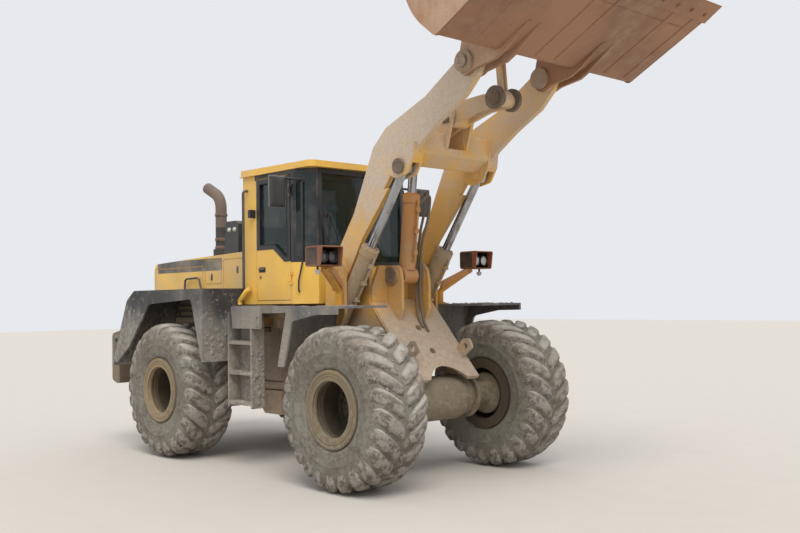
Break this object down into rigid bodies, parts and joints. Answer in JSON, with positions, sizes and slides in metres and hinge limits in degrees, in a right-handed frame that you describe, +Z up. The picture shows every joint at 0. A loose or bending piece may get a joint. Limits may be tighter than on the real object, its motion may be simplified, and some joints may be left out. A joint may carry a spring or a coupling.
{
  "type": "wheel loader",
  "caption": "Articulated wheel loader with raised lift arms, a wide bucket, enclosed cab, engine hood and large traction tyres; arms, bucket, doors, wheels and centre hinge move.",
  "frame": {"origin": "On the ground, below the middle of the whole machine as it stands with its arms raised.", "axes": "+X forward along the machine, +Y to its left, +Z up."},
  "size_m": [7.596, 2.88, 4.9388],
  "materials": {
    "yellow_paint": "warm yellow machine paint, dusty",
    "arm_paint": "yellow paint under pale dust",
    "black_paint": "black paint with dried streaks of mud",
    "frame_paint": "frame paint under thick grey-beige dust",
    "bucket_steel": "worn and rusty plate",
    "cast_iron": "castings with dried mud",
    "tyre_rubber": "rubber under grey-beige mud",
    "rim_paint": "tan rim paint with mud",
    "rod_chrome": "hard chrome",
    "pin_steel": "greasy pins",
    "exhaust_steel": "rusty tube",
    "cab_glass": "dark greenish safety glass",
    "seat_cloth": "dark seat cloth",
    "black_plastic": "black plastic"
  },
  "bodies": {
    "rear": {"rear_chassis": "frame_paint", "counterweight": "cast_iron", "engine_hood": "yellow_paint", "engine_block": "cast_iron", "rear_grille": "black_paint", "exhaust_stack": "exhaust_steel", "rear_lamp_box": "black_paint", "rear_fender_right": "black_paint", "rear_fender_left": "black_paint", "platform_right": "black_paint", "platform_left": "black_paint", "cab_shell": "yellow_paint", "cab_roof": "yellow_paint", "cab_glass": "cab_glass", "operator_seat": "seat_cloth", "steering_column": "black_plastic", "mirrors": "black_plastic", "handrails": "black_paint", "rear_axle": "cast_iron"},
    "front": {"front_chassis": "frame_paint", "front_axle": "cast_iron", "front_fender_right": "black_paint", "front_fender_left": "black_paint", "headlamp_right": "black_plastic", "headlamp_left": "black_plastic"},
    "arms": {"lift_arms": "arm_paint"},
    "level_pins": {"bucket_pins": "pin_steel"},
    "bucket": {"bucket": "bucket_steel"},
    "crank_pin": {"bellcrank_pin": "pin_steel"},
    "bellcrank": {"bellcrank": "arm_paint"},
    "link_pin": {"link_pin": "pin_steel"},
    "tilt_link": {"tilt_link": "arm_paint"},
    "lift_barrels": {"lift_barrels": "arm_paint"},
    "lift_rods": {"lift_rods": "rod_chrome"},
    "tilt_barrel": {"tilt_barrel": "arm_paint"},
    "tilt_rod": {"tilt_rod": "rod_chrome"},
    "door_right": {"door_right": "yellow_paint", "door_glass_right": "cab_glass"},
    "steer_barrel_right": {"steer_barrel_right": "arm_paint"},
    "steer_rod_right": {"steer_rod_right": "rod_chrome"},
    "wheel_front_right": {"tyre_front_right": "tyre_rubber", "rim_front_right": "rim_paint"},
    "wheel_rear_right": {"tyre_rear_right": "tyre_rubber", "rim_rear_right": "rim_paint"},
    "door_left": {"door_left": "yellow_paint", "door_glass_left": "cab_glass"},
    "steer_barrel_left": {"steer_barrel_left": "arm_paint"},
    "steer_rod_left": {"steer_rod_left": "rod_chrome"},
    "wheel_front_left": {"tyre_front_left": "tyre_rubber", "rim_front_left": "rim_paint"},
    "wheel_rear_left": {"tyre_rear_left": "tyre_rubber", "rim_rear_left": "rim_paint"}
  },
  "joints": [
    {"name": "steering", "type": "hinge", "parent": "rear", "child": "front", "pos_m": [-0.498, 0, 0.89], "axis": [0, 0, -1], "range_deg": [-40, 40]},
    {"name": "lift", "type": "hinge", "parent": "front", "child": "arms", "pos_m": [0.412, 0, 2.17], "axis": [0, -1, 0], "range_deg": [-86, 0]},
    {"name": "bucket_level", "type": "hinge", "parent": "arms", "child": "level_pins", "pos_m": [2.332, 0, 4.07], "axis": [0, -1, 0], "range_deg": [0, 86]},
    {"name": "bucket_tilt", "type": "hinge", "parent": "level_pins", "child": "bucket", "pos_m": [2.332, 0, 4.07], "axis": [0, 1, 0], "range_deg": [-12, 72]},
    {"name": "crank_lift", "type": "hinge", "parent": "arms", "child": "crank_pin", "pos_m": [1.602, 0, 3.74], "axis": [0, -1, 0], "range_deg": [-41.15, 0]},
    {"name": "crank_tilt", "type": "hinge", "parent": "crank_pin", "child": "bellcrank", "pos_m": [1.602, 0, 3.74], "axis": [0, -1, 0], "range_deg": [-1.16, 6.92]},
    {"name": "link_lift", "type": "hinge", "parent": "bellcrank", "child": "link_pin", "pos_m": [2.232, 0, 3.82], "axis": [0, -1, 0], "range_deg": [0, 49.49]},
    {"name": "link_tilt", "type": "hinge", "parent": "link_pin", "child": "tilt_link", "pos_m": [2.232, 0, 3.82], "axis": [0, -1, 0], "range_deg": [-53.03, 8.85]},
    {"name": "lift_cylinder_swing", "type": "hinge", "parent": "front", "child": "lift_barrels", "pos_m": [0.232, 0, 1.495], "axis": [0, -1, 0], "range_deg": [-66.08, 0]},
    {"name": "lift_cylinder_stroke", "type": "slide", "parent": "lift_barrels", "child": "lift_rods", "axis": [0.5644, 0, 0.8255], "range_m": [-0.7682, 0]},
    {"name": "tilt_cylinder_swing", "type": "hinge", "parent": "front", "child": "tilt_barrel", "pos_m": [0.802, 0, 2.12], "axis": [0, -1, 0], "range_deg": [-96.61, 0]},
    {"name": "tilt_cylinder_stroke", "type": "slide", "parent": "tilt_barrel", "child": "tilt_rod", "axis": [0.1129, 0, 0.9936], "range_m": [0, 0.1227]},
    {"name": "steer_swing_right", "type": "hinge", "parent": "rear", "child": "steer_barrel_right", "pos_m": [-1.298, -0.4, 0.86], "axis": [0, 0, 1], "range_deg": [-9.52, 9.52]},
    {"name": "steer_stroke_right", "type": "slide", "parent": "steer_barrel_right", "child": "steer_rod_right", "axis": [0.9993, 0.0363, 0], "range_m": [-0.2506, 0.2506]},
    {"name": "steer_swing_left", "type": "hinge", "parent": "rear", "child": "steer_barrel_left", "pos_m": [-1.298, 0.4, 0.86], "axis": [0, 0, 1], "range_deg": [-9.52, 9.52]},
    {"name": "steer_stroke_left", "type": "slide", "parent": "steer_barrel_left", "child": "steer_rod_left", "axis": [0.9993, -0.0363, 0], "range_m": [-0.2506, 0.2506]},
    {"name": "door_right_hinge", "type": "hinge", "parent": "rear", "child": "door_right", "pos_m": [-0.213, -0.814, 2.5], "axis": [0, 0, -1], "range_deg": [-80, 0]},
    {"name": "door_left_hinge", "type": "hinge", "parent": "rear", "child": "door_left", "pos_m": [-0.213, 0.814, 2.5], "axis": [0, 0, -1], "range_deg": [0, 80]},
    {"name": "wheel_front_right_spin", "type": "hinge", "parent": "front", "child": "wheel_front_right", "pos_m": [1.152, -1.08, 0.81], "axis": [0, 1, 0], "continuous": true},
    {"name": "wheel_front_left_spin", "type": "hinge", "parent": "front", "child": "wheel_front_left", "pos_m": [1.152, 1.08, 0.81], "axis": [0, 1, 0], "continuous": true},
    {"name": "wheel_rear_right_spin", "type": "hinge", "parent": "rear", "child": "wheel_rear_right", "pos_m": [-2.148, -1.08, 0.81], "axis": [0, 1, 0], "continuous": true},
    {"name": "wheel_rear_left_spin", "type": "hinge", "parent": "rear", "child": "wheel_rear_left", "pos_m": [-2.148, 1.08, 0.81], "axis": [0, 1, 0], "continuous": true}
  ],
  "couplings": [
    {"joint": "bucket_level", "follows": "lift", "ratio": -1},
    {"joint": "crank_lift", "follows": "lift", "ratio": 0.4784},
    {"joint": "crank_tilt", "follows": "bucket_tilt", "ratio": 0.096},
    {"joint": "link_lift", "follows": "lift", "ratio": -0.5753},
    {"joint": "link_tilt", "follows": "bucket_tilt", "ratio": -0.7364},
    {"joint": "lift_cylinder_swing", "follows": "lift", "ratio": 0.7682},
    {"joint": "lift_cylinder_stroke", "follows": "lift", "m_per_rad": 0.5111},
    {"joint": "tilt_cylinder_swing", "follows": "lift", "ratio": 1.1233},
    {"joint": "tilt_cylinder_stroke", "follows": "lift", "m_per_rad": -0.0811},
    {"joint": "steer_swing_right", "follows": "steering", "ratio": -0.23779},
    {"joint": "steer_stroke_right", "follows": "steering", "m_per_rad": -0.35746},
    {"joint": "steer_swing_left", "follows": "steering", "ratio": -0.23779},
    {"joint": "steer_stroke_left", "follows": "steering", "m_per_rad": 0.35746}
  ]
}
